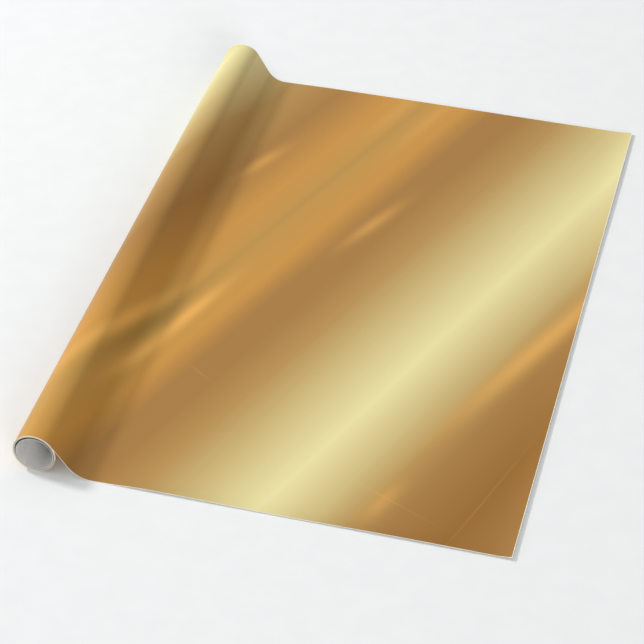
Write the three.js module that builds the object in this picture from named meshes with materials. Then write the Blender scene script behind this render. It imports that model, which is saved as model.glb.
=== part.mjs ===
// A roll of gift wrap lying on a table with its first half metre pulled out flat.
//
// The paper is one web. It is wound on a card core, and the loose outermost turn leaves the roll over the
// top, runs down a sloping lead-off and lies flat with its printed face up. The roll's axis is along Y, the
// web is pulled off along +X, and the origin is on the table, under the middle of the whole object.
// All sizes are in millimetres.
import * as THREE from "three";

// Driving dimensions.
const INCH = 25.4;
const WEB_WIDTH = 30 * INCH;
const WEB_LENGTH = 72 * INCH;
const CALIPER = 0.12; // thickness of the paper
const TURN_PITCH = 0.13; // from one tight turn to the next, with the air between them
const ROLL_RADIUS = 22.75; // outside of the outermost turn where the lead-off leaves it
const LEAVE_ANGLE = 35.5; // degrees above the horizontal, on the +X side, where the lead-off leaves the roll
const FOOT_BEND_RADIUS = 31; // bend of the lead-off where it lands on the table
const AXIS_TO_FAR_EDGE = 489; // from the roll's axis to the web's outer end
const CORE_BORE = 38.6;
const CORE_PLIES = { liner: 0.15, board: 0.45, wrap: 0.15 }; // thicknesses, from the bore outwards
const PLY_GAP = 0.05; // stands for the glue between two plies
const CLEARANCE = 0.3; // between pieces that move past each other, or that meet end to end

const TURN_COVERED = 350 / 360; // how far the loose outermost turn goes round before the tight ones begin
const SEGMENTS = 72; // facets in a full turn
const DEGREE = Math.PI / 180;

// Where the web is.
const leave = LEAVE_ANGLE * DEGREE;
const slope = Math.PI / 2 - leave; // how steeply the lead-off goes down
const turnDrop = (turns) => TURN_PITCH * turns; // how much nearer the axis the web is, so many turns in
const TABLE_TURNS = (270 - LEAVE_ANGLE) / 360; // from the lead-off, over the top, to where the roll stands
const AXIS_HEIGHT = ROLL_RADIUS - turnDrop(TABLE_TURNS);
const WEB_MIDDLE = ROLL_RADIUS - CALIPER / 2; // radius of the middle of the paper's thickness

const leaveX = WEB_MIDDLE * Math.cos(leave);
const leaveZ = AXIS_HEIGHT + WEB_MIDDLE * Math.sin(leave);
const bendHeight = FOOT_BEND_RADIUS * (1 - Math.cos(slope)) + CALIPER / 2;
const straightLength = (leaveZ - bendHeight) / Math.sin(slope);
const bendX = leaveX + straightLength * Math.cos(slope);
const footX = bendX + FOOT_BEND_RADIUS * Math.sin(slope);

// How much web is still wound tight, and how thick it is. It starts under the loose outermost turn.
const offTheRoll = straightLength + FOOT_BEND_RADIUS * slope + (AXIS_TO_FAR_EDGE - footX);
const looseLength = 2 * Math.PI * WEB_MIDDLE * TURN_COVERED;
const tightLength = WEB_LENGTH - offTheRoll - looseLength;
const tightArea = tightLength * TURN_PITCH; // seen from the end
const WOUND_RADIUS = ROLL_RADIUS - turnDrop(TURN_COVERED) - CALIPER - CLEARANCE;
const WOUND_BORE_RADIUS = Math.sqrt(WOUND_RADIUS ** 2 - tightArea / Math.PI);

// The core is loose in the roll. It has settled down and towards the pulled side.
const boardInside = CORE_BORE / 2 + CORE_PLIES.liner + PLY_GAP;
const wrapInside = boardInside + CORE_PLIES.board + PLY_GAP;
const CORE_RADIUS = wrapInside + CORE_PLIES.wrap;
const inscribed = Math.cos(Math.PI / SEGMENTS); // a faceted bore's flats are this much nearer its axis
const coreOffset = WOUND_BORE_RADIUS * inscribed - CORE_RADIUS - CLEARANCE;
const CORE_LEAN = -45 * DEGREE;

// From the roll's axis to the origin, under the middle of the whole object.
const AXIS_TO_NEAR_SIDE = ROLL_RADIUS - turnDrop((180 - LEAVE_ANGLE) / 360);
const AXIS_TO_MIDDLE = (AXIS_TO_FAR_EDGE - AXIS_TO_NEAR_SIDE) / 2;

// Printed paper, and the plies of the core.
const printedPaper = new THREE.MeshStandardMaterial({ color: 0xc49a5a, roughness: 0.45, metalness: 0 });
const whitePly = new THREE.MeshStandardMaterial({ color: 0xe8e6e1, roughness: 0.8, metalness: 0 });
const greyBoard = new THREE.MeshStandardMaterial({ color: 0xb9b1a4, roughness: 0.9, metalness: 0 });
const brownKraft = new THREE.MeshStandardMaterial({ color: 0x705f4d, roughness: 0.85, metalness: 0 });

// A point on the middle of the paper, seen from the end, and the direction of the printed side there.
const webPoint = (x, z, outward) => ({ x, z, outX: Math.cos(outward), outZ: Math.sin(outward) });

// The loose outermost turn, from the lead-off over the top and round under the roll to its own start.
function outermostTurn() {
  const steps = Math.round(SEGMENTS * TURN_COVERED);
  return Array.from({ length: steps + 1 }, (_, i) => {
    const turns = (i / steps) * TURN_COVERED;
    const angle = leave + turns * 2 * Math.PI;
    const radius = WEB_MIDDLE - turnDrop(turns);
    return webPoint(radius * Math.cos(angle), AXIS_HEIGHT + radius * Math.sin(angle), angle);
  });
}

// The lead-off: straight down from the roll, then bent to lie along the table.
function leadOff() {
  const along = (distance) =>
    webPoint(leaveX + distance * Math.cos(slope), leaveZ - distance * Math.sin(slope), leave);
  const bendSteps = 14;
  const bend = Array.from({ length: bendSteps + 1 }, (_, i) => {
    const left = slope * (1 - i / bendSteps); // the slope still to go
    return webPoint(
      footX - FOOT_BEND_RADIUS * Math.sin(left),
      CALIPER / 2 + FOOT_BEND_RADIUS * (1 - Math.cos(left)),
      Math.PI / 2 - left,
    );
  });
  return [along(CLEARANCE), ...bend];
}

// The length that lies flat.
function flatLength() {
  const up = Math.PI / 2;
  return [footX + CLEARANCE, AXIS_TO_FAR_EDGE].map((x) => webPoint(x, CALIPER / 2, up));
}

// A stretch of the web as a solid: its line thickened to the caliper, and as wide as the web.
function paper(name, line) {
  const offset = (side) => line.map((p) => new THREE.Vector2(p.x + side * p.outX, p.z + side * p.outZ));
  const outline = [...offset(CALIPER / 2), ...offset(-CALIPER / 2).reverse()];
  const geometry = new THREE.ExtrudeGeometry(new THREE.Shape(outline), {
    depth: WEB_WIDTH,
    bevelEnabled: false,
  });
  geometry.rotateX(Math.PI / 2);
  geometry.translate(0, WEB_WIDTH / 2, 0);
  return named(name, geometry, printedPaper);
}

// A tube about the Y axis, as wide as the web.
function tube(name, inside, outside, material) {
  const end = WEB_WIDTH / 2;
  const profile = [
    [inside, -end],
    [outside, -end],
    [outside, end],
    [inside, end],
    [inside, -end],
  ].map(([radius, y]) => new THREE.Vector2(radius, y));
  return named(name, new THREE.LatheGeometry(profile, SEGMENTS), material);
}

function named(name, geometry, material) {
  const mesh = new THREE.Mesh(geometry, material);
  mesh.name = name;
  return mesh;
}

// The turns that are still wound tight, as one tube.
function woundPaper() {
  const mesh = tube("wound_paper", WOUND_BORE_RADIUS, WOUND_RADIUS, printedPaper);
  mesh.position.z = AXIS_HEIGHT;
  return mesh;
}

// The card core: a white liner, grey board and a brown kraft wrap, glued together.
function core() {
  const group = new THREE.Group();
  group.add(
    tube("core_liner", CORE_BORE / 2, CORE_BORE / 2 + CORE_PLIES.liner, whitePly),
    tube("core_board", boardInside, boardInside + CORE_PLIES.board, greyBoard),
    tube("core_wrap", wrapInside, CORE_RADIUS, brownKraft),
  );
  group.position.set(
    coreOffset * Math.cos(CORE_LEAN),
    0,
    AXIS_HEIGHT + coreOffset * Math.sin(CORE_LEAN),
  );
  return group;
}

const roll = new THREE.Group();
roll.add(
  paper("outer_turn", outermostTurn()),
  paper("lead_off", leadOff()),
  paper("flat_sheet", flatLength()),
  woundPaper(),
  core(),
);
roll.position.x = -AXIS_TO_MIDDLE;

const wrappingPaperRoll = new THREE.Group();
wrappingPaperRoll.add(roll);

export default wrappingPaperRoll;
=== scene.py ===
"""A roll of gold gift wrap on a pale table, part of it pulled out flat.

Metres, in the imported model's frame: the roll's axis lies along Y, the paper is pulled off along +X and the
table is at z = 0. The paper is one web, drawn here in two pieces: the length that shows, from its outer end
round the outermost turn, and the tight turns under it.
"""
import math

import bpy
from mathutils import Matrix, Vector


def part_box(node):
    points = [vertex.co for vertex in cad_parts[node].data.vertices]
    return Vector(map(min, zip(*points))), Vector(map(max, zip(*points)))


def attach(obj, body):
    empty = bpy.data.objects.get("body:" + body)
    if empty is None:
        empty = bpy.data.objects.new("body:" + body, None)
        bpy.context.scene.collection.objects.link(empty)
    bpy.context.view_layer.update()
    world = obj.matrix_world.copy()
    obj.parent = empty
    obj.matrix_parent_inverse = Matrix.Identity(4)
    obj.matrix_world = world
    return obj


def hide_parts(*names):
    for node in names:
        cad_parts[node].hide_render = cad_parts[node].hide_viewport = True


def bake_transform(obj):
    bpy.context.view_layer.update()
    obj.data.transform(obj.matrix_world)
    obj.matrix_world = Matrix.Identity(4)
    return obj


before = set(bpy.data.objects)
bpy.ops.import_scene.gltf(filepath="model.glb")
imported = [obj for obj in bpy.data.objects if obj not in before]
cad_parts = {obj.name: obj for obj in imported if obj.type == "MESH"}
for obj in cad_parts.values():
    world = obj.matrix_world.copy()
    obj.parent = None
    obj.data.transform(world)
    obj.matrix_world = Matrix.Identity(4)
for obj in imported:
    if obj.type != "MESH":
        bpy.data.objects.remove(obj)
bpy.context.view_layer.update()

MM = 0.001

# ---------------------------------------------------------------------------------------------------------
# Sizes, from the frame.
# ---------------------------------------------------------------------------------------------------------
flat_low, flat_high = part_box("flat_sheet")
turn_low, turn_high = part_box("outer_turn")
wound_low, wound_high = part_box("wound_paper")

FRONT = flat_low.y
BACK = flat_high.y
WIDTH = BACK - FRONT
CALIPER = flat_high.z - flat_low.z
FAR_EDGE = flat_high.x
FOOT = flat_low.x  # where the lead-off has come down to the table

AXIS = (wound_low + wound_high) / 2
ROLL_RADIUS = turn_high.z - AXIS.z
WOUND_RADIUS = (wound_high.x - wound_low.x) / 2
LOOSE_COVERED = 350 / 360  # how far round the loose outermost turn goes
TURN_PITCH = 0.13 * MM  # from one turn to the next
TIGHT_TURNS = 8.85

PLY_THICKNESS = {"liner": 0.15 * MM, "board": 0.45 * MM, "wrap": 0.15 * MM}
PLY_BOX = {ply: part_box(f"core_{ply}") for ply in PLY_THICKNESS}
wrap_low, wrap_high = PLY_BOX["wrap"]
CORE_AXIS = (wrap_low + wrap_high) / 2

MARGIN = 0.45 * MM  # unprinted white strip along the web's edges and outer end
EDGE_STEPS = [0, MARGIN, 4 * MM, 8 * MM, 13 * MM, 19 * MM, 26 * MM, 34 * MM]  # in from an edge that lifts

# The lead-off isn't the same all along the roll: it is steeper and its bend tighter at the back.
LEAVE_FRONT = math.radians(35.5)
LEAVE_BACK = math.radians(30.5)
BEND_FRONT = 31 * MM
BEND_BACK = 24 * MM

# Angle round the roll where the loose outermost turn takes over from the tight ones.
LOOSE_START = LEAVE_FRONT + LOOSE_COVERED * 2 * math.pi
STEPS_IN_TURN = 72  # of the tight turns and the core's plies
STRAY = 0.25 * MM  # how unevenly the tight turns are stacked at the ends of the roll
STRAY_SWING = 2.3  # radians for each turn

# Gentle waves of the flat length: height, and radians per metre along the web and across it.
WAVES = (
    (0.25 * MM, 21, 5),
    (0.2 * MM, -9, 17),
)

# How far the edges of the flat length stand off the table, how far in that reaches, and how it ripples.
LIFT_FRONT = 1.5 * MM
LIFT_BACK = 0.8 * MM
LIFT_OUTER = 2.7 * MM
REACH_SIDES = 22 * MM
REACH_OUTER = 26 * MM
RIPPLE = 0.4 * MM
RIPPLE_FRONT = 26  # radians per metre
RIPPLE_OUTER = 13
SETTLING = 60 * MM  # from the lead-off's foot to where the waves and lifts are full


# ---------------------------------------------------------------------------------------------------------
# Camera, lights and table.
# ---------------------------------------------------------------------------------------------------------
# The camera looks at the target from this far round from -Y and this high. Its lens and sensor are in
# millimetres.
VIEW_AZIMUTH = math.radians(13.94)
VIEW_ELEVATION = math.radians(38.56)
VIEW_ROLL = math.radians(0.95)
VIEW_DISTANCE = 2.616
VIEW_LENS = 134.27
VIEW_SENSOR = 36
VIEW_TARGET = Vector((-0.0148, -0.0712, 0))

# The studio's strength grows smoothly with how far a direction is towards the bright side.
STUDIO_BRIGHT_SIDE = Vector((-0.58, 0, 0.81))
STUDIO_STRENGTH = {"From Min": -0.4, "From Max": 0.75, "To Min": 0.03, "To Max": 0.80}
STUDIO_WHITE = (1.0, 0.995, 0.985, 1)

TABLE_REACH = 30.0  # from the middle of the table to its sides, which are out of sight
TABLE_TONES = ((0.775, 0.795, 0.80, 1), (0.79, 0.81, 0.815, 1))


def make_camera():
    data = bpy.data.cameras.new("camera")
    data.sensor_width = VIEW_SENSOR
    data.lens = VIEW_LENS
    camera = bpy.data.objects.new("camera", data)
    bpy.context.collection.objects.link(camera)
    level = math.cos(VIEW_ELEVATION)
    back = Vector((
        math.sin(VIEW_AZIMUTH) * level,
        -math.cos(VIEW_AZIMUTH) * level,
        math.sin(VIEW_ELEVATION),
    ))
    right = Vector((math.cos(VIEW_AZIMUTH), math.sin(VIEW_AZIMUTH), 0))
    axes = Matrix((right, back.cross(right), back)).transposed()
    turned = axes @ Matrix.Rotation(VIEW_ROLL, 3, "Z")
    camera.matrix_world = Matrix.Translation(VIEW_TARGET + VIEW_DISTANCE * back) @ turned.to_4x4()
    bpy.context.scene.camera = camera


def make_lamp(name, direction, distance, size, power):
    """A round soft lamp that shines at the origin. size is its width in metres, and power is in watts."""
    data = bpy.data.lights.new(name, "AREA")
    data.shape = "DISK"
    data.size = size
    data.energy = power
    lamp = bpy.data.objects.new(name, data)
    bpy.context.collection.objects.link(lamp)
    lamp.location = distance * direction.normalized()
    lamp.rotation_euler = (-direction).to_track_quat("-Z", "Y").to_euler()
    lamp.visible_camera = False


def make_lamps():
    """The key is on the wound side, a little behind, and so low that the roll shades the lead-off's foot.

    The fill is far off and low in front, on the pulled side, and lights the inside of the core.
    """
    make_lamp("key", direction=Vector((-0.775, 0.12, 0.616)), distance=5.0, size=0.8, power=138)
    make_lamp("fill", direction=Vector((0.50, -0.83, 0.25)), distance=12.0, size=5.5, power=760)


def make_studio():
    """A white studio all round: bright overhead and on the wound side, dim low down on the pulled side."""
    world = bpy.data.worlds.new("studio")
    bpy.context.scene.world = world
    world.use_nodes = True
    nodes = world.node_tree.nodes
    links = world.node_tree.links
    towards = nodes.new("ShaderNodeVectorMath")
    towards.operation = "DOT_PRODUCT"
    links.new(nodes.new("ShaderNodeTexCoord").outputs["Generated"], towards.inputs[0])
    towards.inputs[1].default_value = STUDIO_BRIGHT_SIDE.normalized()
    strength = nodes.new("ShaderNodeMapRange")
    strength.interpolation_type = "SMOOTHSTEP"
    links.new(towards.outputs["Value"], strength.inputs["Value"])
    for name, number in STUDIO_STRENGTH.items():
        strength.inputs[name].default_value = number
    sky = nodes["Background"]
    sky.inputs["Color"].default_value = STUDIO_WHITE
    links.new(strength.outputs["Result"], sky.inputs["Strength"])


def make_table():
    signs = ((-1, -1), (1, -1), (1, 1), (-1, 1))
    corners = [(x * TABLE_REACH, y * TABLE_REACH, 0) for x, y in signs]
    mesh = bpy.data.meshes.new("table")
    mesh.from_pydata(corners, [], [(0, 1, 2, 3)])
    table = bpy.data.objects.new("table", mesh)
    bpy.context.collection.objects.link(table)
    table.data.materials.append(table_material())


# ---------------------------------------------------------------------------------------------------------
# Material helpers.
# ---------------------------------------------------------------------------------------------------------
def from_screen(red, green, blue):
    """A colour given as it shows on a screen, from 0 to 255, as the linear colour that shaders take."""
    return tuple(((c / 255 + 0.055) / 1.055) ** 2.4 for c in (red, green, blue)) + (1.0,)


NOISE_SPAN = (0.3, 0.7)  # most of a noise's values lie between these


class Graph:
    """The shader nodes of one material. Most calls add a node and give its output."""

    def __init__(self, name, roughness, metallic=0.0, specular=0.5):
        self.material = bpy.data.materials.new(name)
        self.material.use_nodes = True
        self.nodes = self.material.node_tree.nodes
        self.links = self.material.node_tree.links
        self.shader = self.nodes["Principled BSDF"]
        self.shader.inputs["Roughness"].default_value = roughness
        self.shader.inputs["Metallic"].default_value = metallic
        self.shader.inputs["Specular IOR Level"].default_value = specular

    def put(self, value, socket):
        if isinstance(value, bpy.types.NodeSocket):
            self.links.new(value, socket)
        else:
            socket.default_value = value

    def math(self, operation, *values):
        node = self.nodes.new("ShaderNodeMath")
        node.operation = operation
        for value, socket in zip(values, node.inputs):
            self.put(value, socket)
        return node.outputs["Value"]

    def fit(self, value, low, high, to_low=0.0, to_high=1.0):
        """value, from low..high to to_low..to_high, smoothly and no further."""
        node = self.nodes.new("ShaderNodeMapRange")
        node.interpolation_type = "SMOOTHSTEP"
        for name, number in {
            "Value": value,
            "From Min": low,
            "From Max": high,
            "To Min": to_low,
            "To Max": to_high,
        }.items():
            self.put(number, node.inputs[name])
        return node.outputs["Result"]

    def soft_spot(self, *distances):
        """1 where every distance is 0, falling smoothly to nothing past 2."""
        squares = 0.0
        for distance in distances:
            squares = self.math("ADD", squares, self.math("MULTIPLY", distance, distance))
        return self.math("EXPONENT", self.math("MULTIPLY", squares, -1.0))

    def vector(self, x, y):
        node = self.nodes.new("ShaderNodeCombineXYZ")
        for value, socket in zip((x, y), node.inputs):
            self.put(value, socket)
        return node.outputs["Vector"]

    def noise(self, place, scale, detail):
        node = self.nodes.new("ShaderNodeTexNoise")
        self.put(place, node.inputs["Vector"])
        node.inputs["Scale"].default_value = scale
        node.inputs["Detail"].default_value = detail
        return node.outputs["Fac"]

    def mix(self, share, one, other):
        node = self.nodes.new("ShaderNodeMix")
        node.data_type = "RGBA"
        self.put(share, node.inputs["Factor"])
        self.put(one, node.inputs["A"])
        self.put(other, node.inputs["B"])
        return node.outputs["Result"]

    def ramp(self, value, stops):
        """stops are (position from 0 to 1, colour)."""
        node = self.nodes.new("ShaderNodeValToRGB")
        self.put(value, node.inputs["Fac"])
        elements = node.color_ramp.elements
        while len(elements) < len(stops):
            elements.new(1.0)
        for element, (position, colour) in zip(elements, stops):
            element.position = position
            element.color = colour
        return node.outputs["Color"]

    def object_place(self):
        return self.nodes.new("ShaderNodeTexCoord").outputs["Object"]

    def web_place(self):
        """(along, across): metres in from the web's outer end, and from its front edge."""
        uv = self.nodes.new("ShaderNodeUVMap")
        uv.uv_map = "web"
        parts = self.nodes.new("ShaderNodeSeparateXYZ")
        self.links.new(uv.outputs["UV"], parts.inputs["Vector"])
        return parts.outputs["X"], parts.outputs["Y"]

    def bump(self, height, distance, strength):
        """Makes the surface uneven by height, from 0 to 1, which stands for distance in metres."""
        node = self.nodes.new("ShaderNodeBump")
        self.put(height, node.inputs["Height"])
        node.inputs["Distance"].default_value = distance
        node.inputs["Strength"].default_value = strength
        self.links.new(node.outputs["Normal"], self.shader.inputs["Normal"])

    def colour(self, colour):
        """Sets the surface's colour, and gives the finished material."""
        self.put(colour, self.shader.inputs["Base Color"])
        return self.material


# ---------------------------------------------------------------------------------------------------------
# Materials.
# ---------------------------------------------------------------------------------------------------------
PALE = from_screen(236, 228, 169)
SAND = from_screen(208, 186, 126)
TAN = from_screen(186, 148, 87)
BROWN = from_screen(171, 127, 70)
UMBER = from_screen(157, 111, 52)
AMBER = from_screen(205, 151, 74)
OLIVE = from_screen(195, 151, 80)
GLINT = from_screen(250, 190, 100)
OLIVE_SHADE = from_screen(150, 122, 58)

STREAK_LEAN = math.radians(20.7)  # the streaks lean this much from the web's width, towards its outer end

# Bands of the print: how far each tone is from the web's outer front corner, square to the streaks, in
# millimetres. The print is mirrored past the last.
BANDS = (
    (0, BROWN),
    (67, UMBER),
    (125, BROWN),
    (155, TAN),
    (187, SAND),
    (242, PALE),
    (307, SAND),
    (355, TAN),
    (398, BROWN),
    (432, BROWN),
    (462, AMBER),
    (507, OLIVE),
    (547, AMBER),
    (607, BROWN),
    (665, TAN),
    (700, SAND),
    (745, PALE),
)
BANDS_END = BANDS[-1][0] * MM

# Brush strokes: how many to a metre over the bands and down them, and how far they shift the bands.
STROKES_OVER = 70
STROKES_DOWN = 3
STROKE_SHIFT = 1.5 * MM

HAIR_LINE = 0.9  # half its width, in millimetres

# Streaks on top of the bands: the place of the middle (over and down, see print_material), half the length
# and half the width in millimetres, the lean from the bands in degrees, the tone and how strong it is. The
# last is a hair line near the outer front corner.
STREAKS = (
    (419, 374, 50, 8, -5, GLINT, 0.38),
    (596, 400, 38, 8, -5, GLINT, 0.36),
    (488, 122, 62, 8, 0, GLINT, 0.65),
    (487, 30, 55, 8, 0, GLINT, 0.6),
    (527, 40, 95, 9, -2, GLINT, 0.7),
    (484, 590, 70, 9, 0, GLINT, 0.2),
    (526, 585, 60, 9, 0, GLINT, 0.2),
    (148, 305, 145, 12, -3, GLINT, 0.55),
    (149, -5, 32, 9, 0, GLINT, 0.3),
    (509, 70, 105, 9, 0, OLIVE_SHADE, 0.55),
    (509, 420, 260, 5, 0, OLIVE_SHADE, 0.12),
    (67, 56, 75, HAIR_LINE, 3.5, GLINT, 0.12),
)

# Another hair line crosses the bands in a shallow arc. It starts this far over, at this slope to the bands,
# bends by this much for each metre over, and shows near its two ends: the middle of each end (over) and half
# its length, in millimetres.
ARC_START = 132
ARC_SLOPE = 0.075
ARC_BEND = 0.31
ARC_ENDS = (
    (150, 50),
    (419, 16),
)
ARC_STRENGTH = 0.14


def lay_streaks(g, over, down, colour):
    """The streaks, on top of a colour. See print_material for over and down."""
    for middle_over, middle_down, half_length, half_width, lean, tone, strength in STREAKS:
        further = g.math("SUBTRACT", down, middle_down * MM)
        aside = g.math("SUBTRACT", over, middle_over * MM)
        off_line = g.math("SUBTRACT", aside, g.math("MULTIPLY", further, math.tan(math.radians(lean))))
        spot = g.soft_spot(
            g.math("DIVIDE", off_line, half_width * MM),
            g.math("DIVIDE", further, half_length * MM),
        )
        colour = g.mix(g.math("MULTIPLY", spot, strength), colour, tone)
    return colour


def lay_arc(g, over, down, colour):
    """The hair line that crosses the bands, on top of a colour."""
    from_start = g.math("SUBTRACT", over, ARC_START * MM)
    bent = g.math("MULTIPLY", g.math("POWER", from_start, 2.0), ARC_BEND)
    arc = g.math("ADD", g.math("MULTIPLY", from_start, ARC_SLOPE), bent)
    off_arc = g.math("DIVIDE", g.math("SUBTRACT", down, arc), HAIR_LINE * MM)
    spots = []
    for middle, half_length in ARC_ENDS:
        from_middle = g.math("SUBTRACT", over, middle * MM)
        spots.append(g.soft_spot(off_arc, g.math("DIVIDE", from_middle, half_length * MM)))
    return g.mix(g.math("MULTIPLY", g.math("ADD", *spots), ARC_STRENGTH), colour, GLINT)


def print_material():
    """Gold gradient print: soft bands on the slant, with streaks and two hair lines, on satin paper.

    over is how far a point is from the web's outer front corner square to the bands, and down how far it is
    along them from there towards the back.
    """
    g = Graph("gold_print", roughness=0.42, metallic=0.35, specular=0.12)
    along, across = g.web_place()
    lean_cos = math.cos(STREAK_LEAN)
    lean_sin = math.sin(STREAK_LEAN)
    over = g.math("ADD", g.math("MULTIPLY", along, lean_cos), g.math("MULTIPLY", across, lean_sin))
    down = g.math("SUBTRACT", g.math("MULTIPLY", across, lean_cos), g.math("MULTIPLY", along, lean_sin))
    strokes = g.vector(g.math("MULTIPLY", over, STROKES_OVER), g.math("MULTIPLY", down, STROKES_DOWN))
    brushed = g.noise(strokes, scale=1.0, detail=3)
    shifted = g.math("ADD", over, g.fit(brushed, *NOISE_SPAN, -STROKE_SHIFT, STROKE_SHIFT))
    stops = [(place * MM / BANDS_END, tone) for place, tone in BANDS]
    colour = g.ramp(g.math("DIVIDE", g.math("PINGPONG", shifted, BANDS_END), BANDS_END), stops)
    colour = lay_streaks(g, over, down, colour)
    colour = lay_arc(g, over, down, colour)

    grain = g.noise(g.vector(along, across), scale=1500, detail=3)
    colour = g.mix(g.fit(grain, 0.25, 0.75, to_high=0.05), colour, UMBER)
    g.bump(grain, distance=0.012 * MM, strength=0.5)
    return g.colour(colour)


def white_paper_material():
    """The unprinted back, margins and cut edges of the web."""
    g = Graph("white_paper", roughness=0.75)
    fibres = g.noise(g.object_place(), scale=900, detail=3)
    colour = g.mix(g.fit(fibres, *NOISE_SPAN), from_screen(246, 240, 228), from_screen(252, 248, 238))
    g.bump(fibres, distance=0.02 * MM, strength=0.4)
    return g.colour(colour)


def edges_with_painted_shade_material():
    """The edges of the tight turns and the back of the paper between them: the paper's white made greyer, as
    painted shade between the turns.
    """
    g = Graph("turn_edges_painted_shade", roughness=0.85, specular=0.2)
    fibres = g.noise(g.object_place(), scale=1600, detail=3)
    colour = g.mix(g.fit(fibres, *NOISE_SPAN), from_screen(204, 201, 195), from_screen(218, 215, 209))
    return g.colour(colour)


def ply_material(name, one, other):
    """Unglazed core paper: soft mottling and short fibres, between two tones."""
    g = Graph(name, roughness=0.85, specular=0.3)
    place = g.object_place()
    dark_fibre = from_screen(120, 114, 104)
    mottle = g.noise(place, scale=160, detail=4)
    fibres = g.noise(place, scale=1400, detail=3)
    colour = g.mix(g.fit(mottle, *NOISE_SPAN), one, other)
    colour = g.mix(g.fit(fibres, 0.5, 0.75, to_high=0.15), colour, dark_fibre)
    g.bump(fibres, distance=0.04 * MM, strength=0.6)
    return g.colour(colour)


def grey_board_material():
    g = Graph("grey_board", roughness=0.9)
    place = g.object_place()
    flecks = g.noise(place, scale=1100, detail=4)
    colour = g.mix(g.fit(flecks, 0.35, 0.65), from_screen(168, 161, 150), from_screen(196, 190, 180))
    g.bump(flecks, distance=0.06 * MM, strength=0.7)
    return g.colour(colour)


def table_material():
    g = Graph("table", roughness=0.9, specular=0.1)
    grain = g.noise(g.object_place(), scale=35, detail=3)
    colour = g.mix(g.fit(grain, *NOISE_SPAN), *TABLE_TONES)
    return g.colour(colour)


# ---------------------------------------------------------------------------------------------------------
# Thin sheets.
# ---------------------------------------------------------------------------------------------------------
def border(rows, columns):
    """The places round the border of a grid, in order."""
    places = [(i, 0) for i in range(rows)]
    places += [(rows - 1, j) for j in range(1, columns)]
    places += [(i, columns - 1) for i in range(rows - 2, -1, -1)]
    places += [(0, j) for j in range(columns - 2, 0, -1)]
    return places


def thin_solid(name, grid, thickness, place_uv, face_slots, materials):
    """A closed thin solid round a grid of (middle point, unit normal).

    grid[i][j] runs along the sheet by i and across it by j, so that along x across is the normal. place_uv
    gives a grid point's place on the flat sheet. face_slots gives a front face's material slot by (i, j);
    the back and the cut edges take the last slot.
    """
    rows = len(grid)
    columns = len(grid[0])
    front = [point + normal * thickness / 2 for line in grid for point, normal in line]
    behind = [point - normal * thickness / 2 for line in grid for point, normal in line]
    count = rows * columns

    def at(i, j):
        return i * columns + j

    last_slot = len(materials) - 1
    faces = []
    slots = []
    for i in range(rows - 1):
        for j in range(columns - 1):
            quad = (at(i, j), at(i + 1, j), at(i + 1, j + 1), at(i, j + 1))
            faces.append(quad)
            slots.append(face_slots(i, j))
            faces.append(tuple(count + k for k in reversed(quad)))
            slots.append(last_slot)
    rim = [at(i, j) for i, j in border(rows, columns)]
    rim_edges = set()
    for a, b in zip(rim, rim[1:] + rim[:1]):
        faces.append((b, a, count + a, count + b))
        slots.append(last_slot)
        rim_edges.add(frozenset((a, b)))
        rim_edges.add(frozenset((count + a, count + b)))

    mesh = bpy.data.meshes.new(name)
    mesh.from_pydata(front + behind, [], faces)
    for material in materials:
        mesh.materials.append(material)
    mesh.polygons.foreach_set("material_index", slots)
    mesh.polygons.foreach_set("use_smooth", [True] * len(faces))
    for edge in mesh.edges:
        edge.use_edge_sharp = frozenset(edge.vertices) in rim_edges
    layer = mesh.uv_layers.new(name="web")
    flat_places = [place_uv(i, j) for i in range(rows) for j in range(columns)]
    for loop in mesh.loops:
        layer.data[loop.index].uv = flat_places[loop.vertex_index % count]
    mesh.update()
    piece = bpy.data.objects.new(name, mesh)
    bpy.context.collection.objects.link(piece)
    return piece


def smooth_step(value):
    value = min(max(value, 0.0), 1.0)
    return value * value * (3 - 2 * value)


def between(low, high, share):
    return low + (high - low) * share


def lengths_along(points):
    """Distance from the first point to each."""
    total = 0.0
    result = [0.0]
    for a, b in zip(points, points[1:]):
        total += (b - a).length
        result.append(total)
    return result


# ---------------------------------------------------------------------------------------------------------
# The web.
# ---------------------------------------------------------------------------------------------------------
def lines_across():
    """Y of each line of the web from front to back: close together near the edges, where it lifts."""
    middle_count = 44
    start = FRONT + EDGE_STEPS[-1]
    end = BACK - EDGE_STEPS[-1]
    middle = [between(start, end, k / middle_count) for k in range(1, middle_count)]
    return [FRONT + d for d in EDGE_STEPS] + middle + [BACK - d for d in reversed(EDGE_STEPS)]


def lift(x, y):
    """How far the flat length stands off the table: gentle waves, and edges that don't quite lie down."""
    along = x - FOOT
    across = y - FRONT

    def rise(inwards, reach):
        return max(0.0, 1 - inwards / reach) ** 2

    waves = sum(
        height * (1 + math.sin(along * each_along + across * each_across))
        for height, each_along, each_across in WAVES
    )
    front = rise(across, REACH_SIDES) * (LIFT_FRONT + RIPPLE * math.sin(along * RIPPLE_FRONT))
    back = rise(BACK - y, REACH_SIDES) * LIFT_BACK
    outer = rise(FAR_EDGE - x, REACH_OUTER) * (LIFT_OUTER + RIPPLE * math.sin(across * RIPPLE_OUTER))
    return (waves + math.hypot(front, back, outer)) * smooth_step(along / SETTLING)


def loose_turn(y, leave):
    """Middle points of the loose outermost turn at y, up to where the lead-off leaves the roll."""
    steps = 100
    middle = ROLL_RADIUS - CALIPER / 2
    points = []
    for k in range(steps + 1):
        angle = between(LOOSE_START, leave, k / steps)
        radius = middle - TURN_PITCH * (angle - LEAVE_FRONT) / (2 * math.pi)
        points.append(Vector((AXIS.x + radius * math.cos(angle), y, AXIS.z + radius * math.sin(angle))))
    return points


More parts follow.
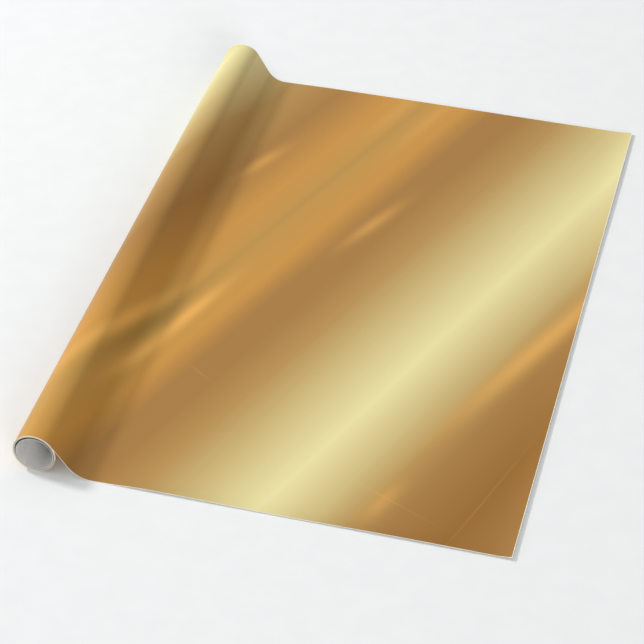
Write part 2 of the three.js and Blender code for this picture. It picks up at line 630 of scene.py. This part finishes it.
def lead_off(leaving, slope, bend_radius):
    """Middle points of the lead-off, from the point where it leaves the roll: straight down, then a bend.

    Gives the x of its foot too.
    """
    bend_top = CALIPER / 2 + bend_radius * (1 - math.cos(slope))
    length = (leaving.z - bend_top) / math.sin(slope)
    down = Vector((math.cos(slope), 0, -math.sin(slope)))
    straight_steps = 5
    points = [leaving + down * length * k / straight_steps for k in range(1, straight_steps + 1)]
    foot_x = points[-1].x + bend_radius * math.sin(slope)
    bend_steps = 16
    for k in range(1, bend_steps + 1):
        left = slope * (1 - k / bend_steps)  # the slope still to go
        z = CALIPER / 2 + bend_radius * (1 - math.cos(left))
        points.append(Vector((foot_x - bend_radius * math.sin(left), leaving.y, z)))
    return points, foot_x


def flat_length(y, foot_x):
    """Middle points of the flat length at y, from the lead-off's foot to the outer end."""
    steps = 46
    xs = [between(foot_x, FAR_EDGE - EDGE_STEPS[-1], k / steps) for k in range(1, steps)]
    xs += [FAR_EDGE - d for d in reversed(EDGE_STEPS)]
    return [Vector((x, y, CALIPER / 2 + lift(x, y))) for x in xs]


def web_line(y):
    """Middle points of the web at y, from the start of the loose outermost turn to the outer end."""
    share = (y - FRONT) / WIDTH
    leave = between(LEAVE_FRONT, LEAVE_BACK, share)
    bend_radius = between(BEND_FRONT, BEND_BACK, share)
    turn = loose_turn(y, leave)
    descent, foot_x = lead_off(turn[-1], math.pi / 2 - leave, bend_radius)
    return turn + descent + flat_length(y, foot_x)


def with_normals(points):
    """points[i][j] with their unit normals, along x across."""
    rows = len(points)
    columns = len(points[0])

    def normal(i, j):
        along = points[min(i + 1, rows - 1)][j] - points[max(i - 1, 0)][j]
        across = points[i][min(j + 1, columns - 1)] - points[i][max(j - 1, 0)]
        return along.cross(across).normalized()

    return [[(points[i][j], normal(i, j)) for j in range(columns)] for i in range(rows)]


def margins(rows, columns, outer_end):
    """The slot of each front face of the web: white in the margin strips, printed elsewhere."""
    def slot(i, j):
        in_margin = j in (0, columns - 2) or (outer_end and i == rows - 2)
        return 1 if in_margin else 0

    return slot


def make_shown_web(printed):
    """The loose outermost turn, the lead-off and the flat length. Gives the length of web in them."""
    ys = lines_across()
    lines = [web_line(y) for y in ys]
    points = list(zip(*lines))
    from_start = [lengths_along(line) for line in lines]
    piece = thin_solid(
        "gift_wrap_sheet",
        with_normals(points),
        CALIPER,
        lambda i, j: (from_start[j][-1] - from_start[j][i], ys[j] - FRONT),
        margins(len(points), len(ys), outer_end=True),
        [printed, white_paper_material()],
    )
    length = from_start[0][-1]
    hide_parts("flat_sheet", "lead_off", "outer_turn")
    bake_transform(piece)
    return length


def stray(turns):
    """How far a turn's edges are in from the ends of the roll: turns never stack quite true."""
    return STRAY * (1 + math.sin(turns * STRAY_SWING)) * smooth_step(turns)


def make_wound_web(printed, along_before):
    """The tight turns, from the web's inner end out to where the loose outermost turn takes over."""
    inner = 30 * MM
    places = (0, MARGIN, inner, WIDTH / 2, WIDTH - inner, WIDTH - MARGIN, WIDTH)
    sides = (1, 1, 1, 0, -1, -1, -1)  # which way each place moves where the edges are in
    centres = []
    grid = []
    for k in range(round(TIGHT_TURNS * STEPS_IN_TURN), -1, -1):
        turns = k / STEPS_IN_TURN
        angle = LOOSE_START + turns * 2 * math.pi
        radius = WOUND_RADIUS - CALIPER / 2 - TURN_PITCH * turns
        out = Vector((math.cos(angle), 0, math.sin(angle)))
        ys = [FRONT + place + side * stray(turns) for place, side in zip(places, sides)]
        centres.append(Vector((AXIS.x, 0, AXIS.z)) + out * radius)
        grid.append([(Vector((AXIS.x, y, AXIS.z)) + out * radius, out) for y in ys])
    from_start = lengths_along(centres)
    total = from_start[-1]
    piece = thin_solid(
        "gift_wrap_turns",
        grid,
        CALIPER,
        lambda i, j: (along_before + total - from_start[i], grid[i][j][0].y - FRONT),
        margins(len(grid), len(places), outer_end=False),
        # The tight turns' edges and backs take white paper greyed with painted shade between the turns.
        [printed, edges_with_painted_shade_material()],
    )
    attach(piece, "winding")
    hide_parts("wound_paper")


# ---------------------------------------------------------------------------------------------------------
# The core.
# ---------------------------------------------------------------------------------------------------------
def make_ply(ply, strip, seam, turned, material):
    """One ply of the core: a strip wound in a helix, with a fine seam between turns, cut square at the ends.

    strip is the length of core that one turn of the strip covers, and turned is where its seam starts, in
    radians.
    """
    low, high = PLY_BOX[ply]
    thickness = PLY_THICKNESS[ply]
    radius = (high.x - low.x) / 2 - thickness / 2
    covered = strip - seam
    steps = math.ceil((WIDTH + covered) / strip * STEPS_IN_TURN)
    sliver = 0.5 * MM  # what the square cut leaves narrower than this is left off
    cells_across = 3
    grid = []
    for k in range(steps + 1):
        strip_edge = FRONT - covered + strip * k / STEPS_IN_TURN
        start = min(max(strip_edge, FRONT), BACK)
        end = min(max(strip_edge + covered, FRONT), BACK)
        if end - start < sliver:
            continue
        angle = turned - 2 * math.pi * k / STEPS_IN_TURN
        out = Vector((math.cos(angle), 0, math.sin(angle)))
        ys = [between(start, end, c / cells_across) for c in range(cells_across + 1)]
        grid.append([(Vector((CORE_AXIS.x, y, CORE_AXIS.z)) + out * radius, out) for y in ys])
    piece = thin_solid(
        f"core_{ply}_ply",
        grid,
        thickness,
        lambda i, j: (i * 2 * math.pi * radius / STEPS_IN_TURN, grid[i][j][0].y - FRONT),
        lambda i, j: 0,
        [material],
    )
    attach(piece, "core")
    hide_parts(f"core_{ply}")


def make_core():
    liner = ply_material("liner_ply", from_screen(207, 206, 203), from_screen(218, 217, 214))
    # The wrap ply is brown core paper made darker than it would be: painted shade for the gap between the
    # core and the tight turns, seen at the roll's ends.
    kraft_and_painted_shade = ply_material("wrap_ply", from_screen(110, 94, 76), from_screen(118, 101, 82))
    board = grey_board_material()
    make_ply("liner", strip=86 * MM, seam=0.4 * MM, turned=0.6, material=liner)
    make_ply("board", strip=86 * MM, seam=0.5 * MM, turned=2.7, material=board)
    make_ply("wrap", strip=88 * MM, seam=0.4 * MM, turned=4.4, material=kraft_and_painted_shade)


# ---------------------------------------------------------------------------------------------------------
# The scene.
# ---------------------------------------------------------------------------------------------------------
make_camera()
make_lamps()
make_studio()
make_table()

gold_print = print_material()
shown_length = make_shown_web(gold_print)
make_wound_web(gold_print, shown_length)
make_core()

bpy.context.scene.view_settings.view_transform = "Standard"
